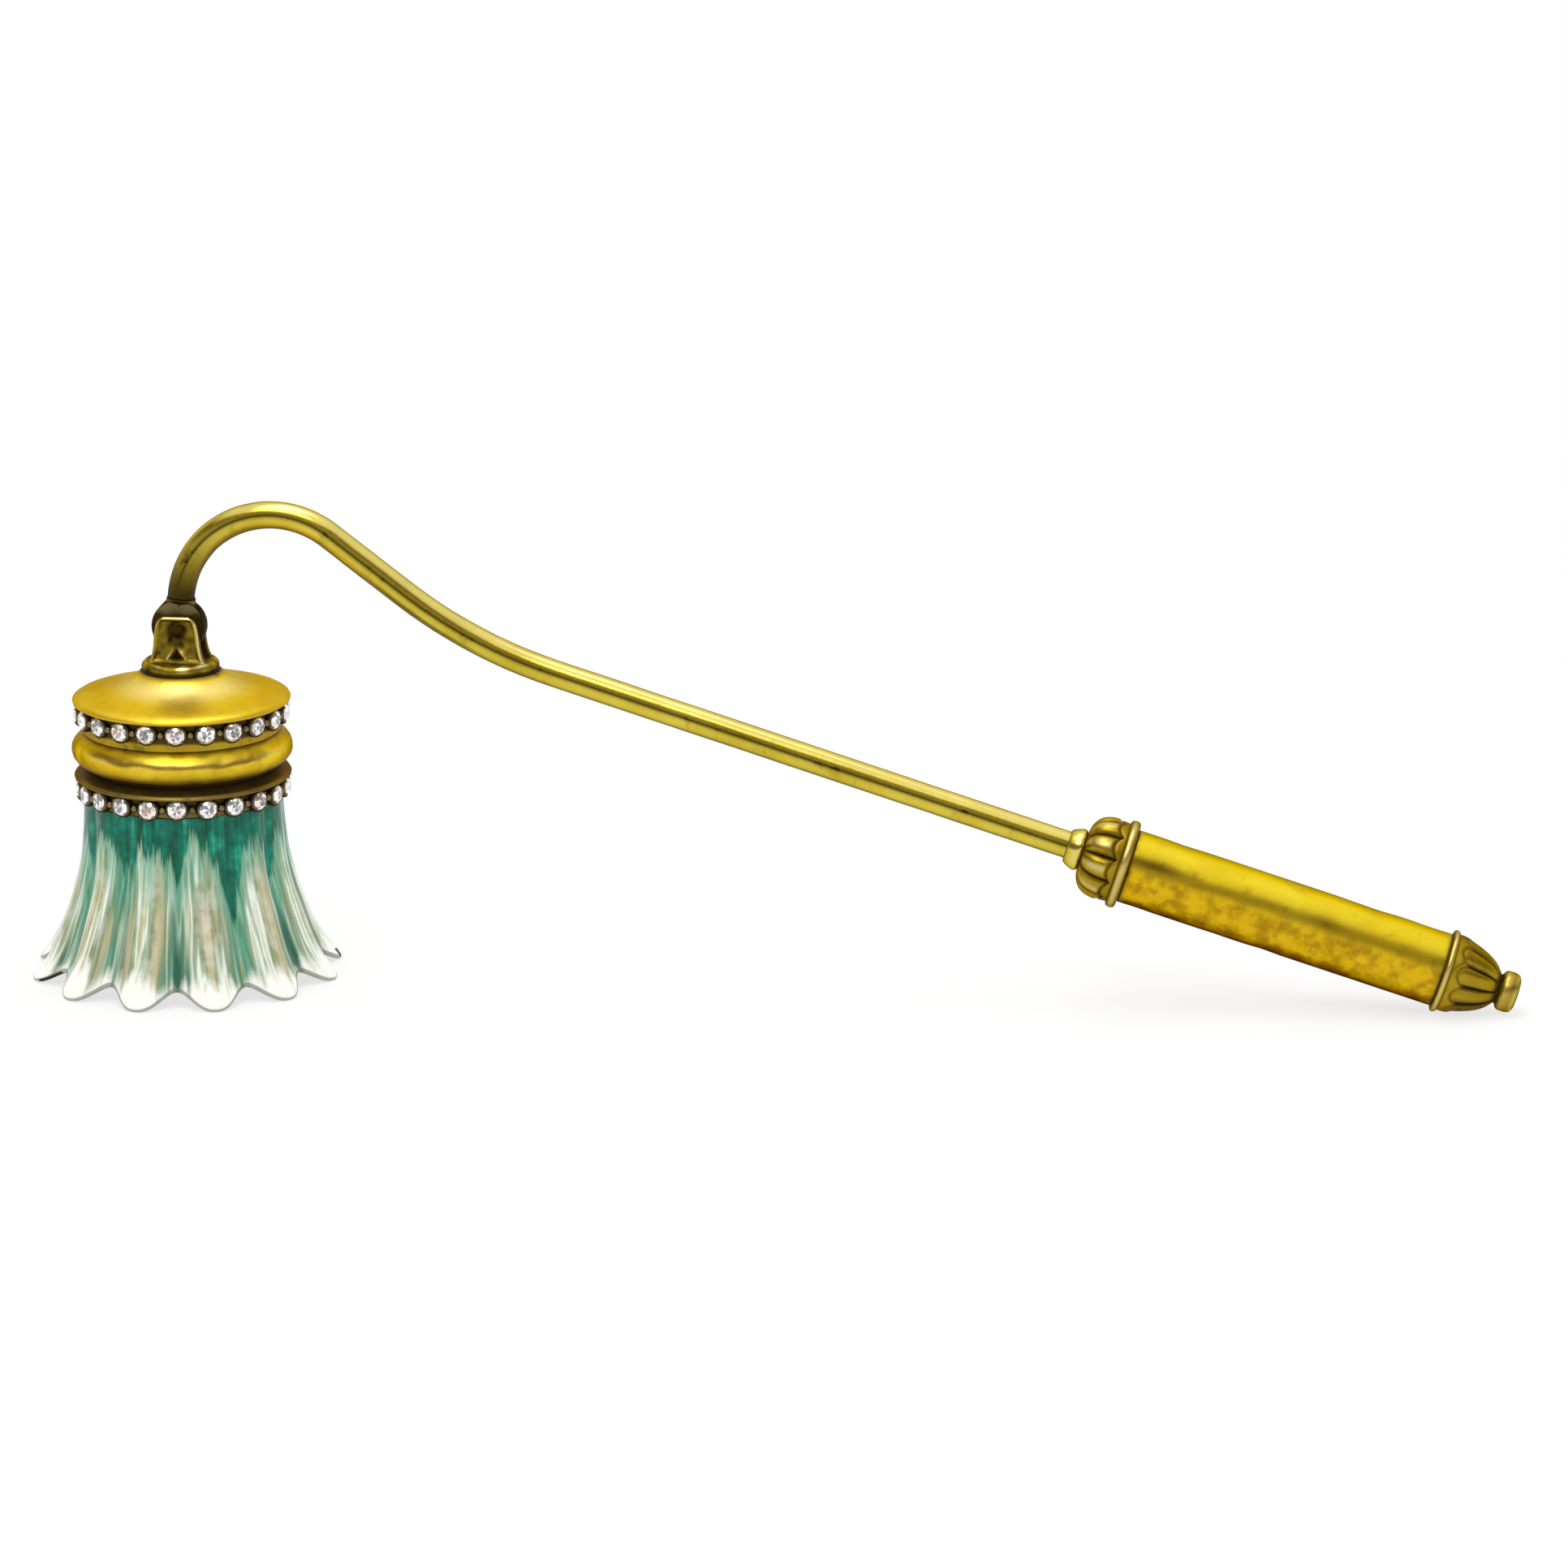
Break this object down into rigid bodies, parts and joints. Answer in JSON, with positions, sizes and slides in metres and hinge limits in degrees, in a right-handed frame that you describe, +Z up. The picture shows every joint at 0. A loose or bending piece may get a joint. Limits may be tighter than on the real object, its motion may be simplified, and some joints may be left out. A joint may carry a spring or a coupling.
{
  "type": "candle snuffer",
  "caption": "Candle snuffer: a fluted enamelled bell with two stone bands, hinged under a hooked stem with a tube handle.",
  "frame": {"origin": "centre of the bell's mouth, on the surface it stands on", "axes": "+Z up along the bell's axis, +X along the stem towards the handle's knob, +Y along the hinge pin"},
  "size_m": [0.2275, 0.048, 0.0739],
  "materials": {
    "enamel": "glossy enamel, teal at the top and pearly white below",
    "antique_gold": "yellow gold plate with brown patina",
    "dark_brass": "darkened brass",
    "clear_stone": "clear cut stone with a foil back",
    "steel": "plain"
  },
  "bodies": {
    "handle": {"stem_knuckle": "dark_brass", "stem_rod": "antique_gold", "front_nub": "antique_gold", "front_cap": "antique_gold", "front_rim": "antique_gold", "handle_tube": "antique_gold", "rear_rim": "antique_gold", "rear_cap": "antique_gold", "finial_knob": "antique_gold"},
    "bell": {"bell_skirt": "enamel", "lower_collar": "antique_gold", "lower_stone_cups": "dark_brass", "lower_stones": "clear_stone", "middle_band": "antique_gold", "dome_cap": "antique_gold", "upper_stone_cups": "dark_brass", "upper_stones": "clear_stone", "hinge_clevis": "antique_gold", "hinge_pin": "dark_brass", "stack_washer": "steel", "stack_nut": "steel"}
  },
  "joints": [
    {"name": "bell_swing", "type": "hinge", "parent": "handle", "child": "bell", "pos_m": [0, 0, 0.0543], "axis": [0, 1, 0], "range_deg": [-57, 96]}
  ]
}
